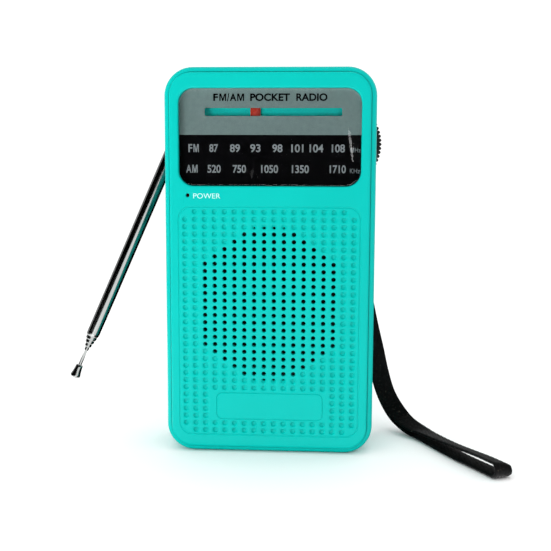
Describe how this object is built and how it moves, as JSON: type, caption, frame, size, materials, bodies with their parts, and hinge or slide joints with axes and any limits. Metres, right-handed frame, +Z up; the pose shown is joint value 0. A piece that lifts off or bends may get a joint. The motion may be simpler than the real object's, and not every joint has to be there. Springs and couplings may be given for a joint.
{
  "type": "transistor pocket radio",
  "caption": "Upright pocket radio: two-shell plastic case, perforated speaker front, sliding dial pointer, thumb wheels, telescopic antenna and wrist strap.",
  "frame": {"origin": "middle of the flat base that the radio stands on, halfway between front and back", "axes": "+Z up along the case, -Y out of the front, +X towards the tuning wheel side"},
  "size_m": [0.1432, 0.0537, 0.12],
  "materials": {
    "case_plastic": "satin moulded, turquoise",
    "lens": "clear, polished",
    "dial_print": "screen printed",
    "pointer_red": "moulded",
    "nylon_white": "moulded",
    "dial_string": "waxed",
    "steel": "zinc plated",
    "black_plastic": "moulded",
    "cream_plastic": "moulded",
    "board_laminate": "bare laminate",
    "tinned_can": "tinned",
    "ferrite": "sintered",
    "copper_wire": "enamelled",
    "paper_cone": "pressed fibre",
    "led_red": "diffused",
    "cell_wrap": "film wrapped",
    "chrome": "polished",
    "webbing": "woven"
  },
  "bodies": {
    "case": {"front_cover": "case_plastic", "rear_cover": "case_plastic", "dial_backplate": "case_plastic", "dial_lens": "lens", "dial_scale": "dial_print", "dial_cord": "dial_string", "dial_pulley_pin": "steel", "case_screw_1": "steel", "case_screw_2": "steel", "case_screw_3": "steel", "case_screw_4": "steel", "board_screw_1": "steel", "board_screw_2": "steel", "antenna_screw": "steel", "strap_pin": "steel", "speaker_frame": "steel", "battery_bridge": "steel", "battery_terminal_1": "steel", "battery_terminal_2": "steel", "earphone_jack": "black_plastic", "radio_ic": "black_plastic", "capacitor_large": "black_plastic", "capacitor_small": "black_plastic", "strap_ferrule": "black_plastic", "tuning_capacitor": "cream_plastic", "circuit_board": "board_laminate", "volume_pot": "board_laminate", "if_transformer_1": "tinned_can", "if_transformer_2": "tinned_can", "if_transformer_3": "tinned_can", "band_switch_body": "tinned_can", "ferrite_bar": "ferrite", "speaker_magnet": "ferrite", "ferrite_coil": "copper_wire", "speaker_cone": "paper_cone", "power_led": "led_red", "battery_1": "cell_wrap", "battery_2": "cell_wrap", "wrist_strap": "webbing", "strap_cord": "webbing"},
    "battery_lid": {"battery_door": "case_plastic"},
    "tuner": {"tuning_wheel": "black_plastic", "tuning_wheel_screw": "steel"},
    "pointer": {"dial_pointer": "pointer_red"},
    "pulley": {"dial_pulley": "nylon_white"},
    "volume": {"volume_wheel": "black_plastic"},
    "band_knob": {"band_switch_knob": "black_plastic"},
    "swivel": {"antenna_swivel": "chrome", "antenna_pin": "chrome"},
    "mast_1": {"antenna_section_1": "chrome"},
    "mast_2": {"antenna_section_2": "chrome"},
    "mast_3": {"antenna_section_3": "chrome"},
    "mast_4": {"antenna_section_4": "chrome"},
    "mast_5": {"antenna_rod": "chrome", "antenna_tip": "chrome"}
  },
  "joints": [
    {"name": "tuning_turn", "type": "hinge", "parent": "case", "child": "tuner", "pos_m": [0.0203, -0.0045, 0.0969], "axis": [0, 1, 0], "range_deg": [-60.67, 109.2]},
    {"name": "pointer_travel", "type": "slide", "parent": "case", "child": "pointer", "axis": [1, 0, 0], "range_m": [-0.0136, 0.0244]},
    {"name": "pulley_turn", "type": "hinge", "parent": "case", "child": "pulley", "pos_m": [-0.0246, -0.0072, 0.1065], "axis": [0, 1, 0], "range_deg": [-250, 450]},
    {"name": "volume_turn", "type": "hinge", "parent": "case", "child": "volume", "pos_m": [-0.0256, 0.0039, 0.092], "axis": [0, 1, 0], "range_deg": [0, 270]},
    {"name": "band_slide", "type": "slide", "parent": "case", "child": "band_knob", "axis": [0, 0, 1], "range_m": [0, 0.004]},
    {"name": "battery_lid_open", "type": "hinge", "parent": "case", "child": "battery_lid", "pos_m": [0.0035, 0.0139, 0.00495], "axis": [-1, 0, 0], "range_deg": [0, 90]},
    {"name": "antenna_swing", "type": "hinge", "parent": "case", "child": "swivel", "pos_m": [-0.0263, 0.0116, 0.113], "axis": [0, 1, 0], "range_deg": [-24.1, 155.9]},
    {"name": "antenna_tilt", "type": "hinge", "parent": "swivel", "child": "mast_1", "pos_m": [-0.0263, 0.0116, 0.113], "axis": [0.9128, 0, -0.4083], "range_deg": [0, 90]},
    {"name": "antenna_slide_1", "type": "slide", "parent": "mast_1", "child": "mast_2", "axis": [-0.4083, 0, -0.9128], "range_m": [0, 0.07]},
    {"name": "antenna_slide_2", "type": "slide", "parent": "mast_2", "child": "mast_3", "axis": [-0.4083, 0, -0.9128], "range_m": [0, 0.07]},
    {"name": "antenna_slide_3", "type": "slide", "parent": "mast_3", "child": "mast_4", "axis": [-0.4083, 0, -0.9128], "range_m": [0, 0.07]},
    {"name": "antenna_slide_4", "type": "slide", "parent": "mast_4", "child": "mast_5", "axis": [-0.4083, 0, -0.9128], "range_m": [0, 0.07]}
  ],
  "couplings": [
    {"joint": "pointer_travel", "follows": "tuning_turn", "m_per_rad": 0.01275},
    {"joint": "pulley_turn", "follows": "tuning_turn", "ratio": 4.0476}
  ]
}
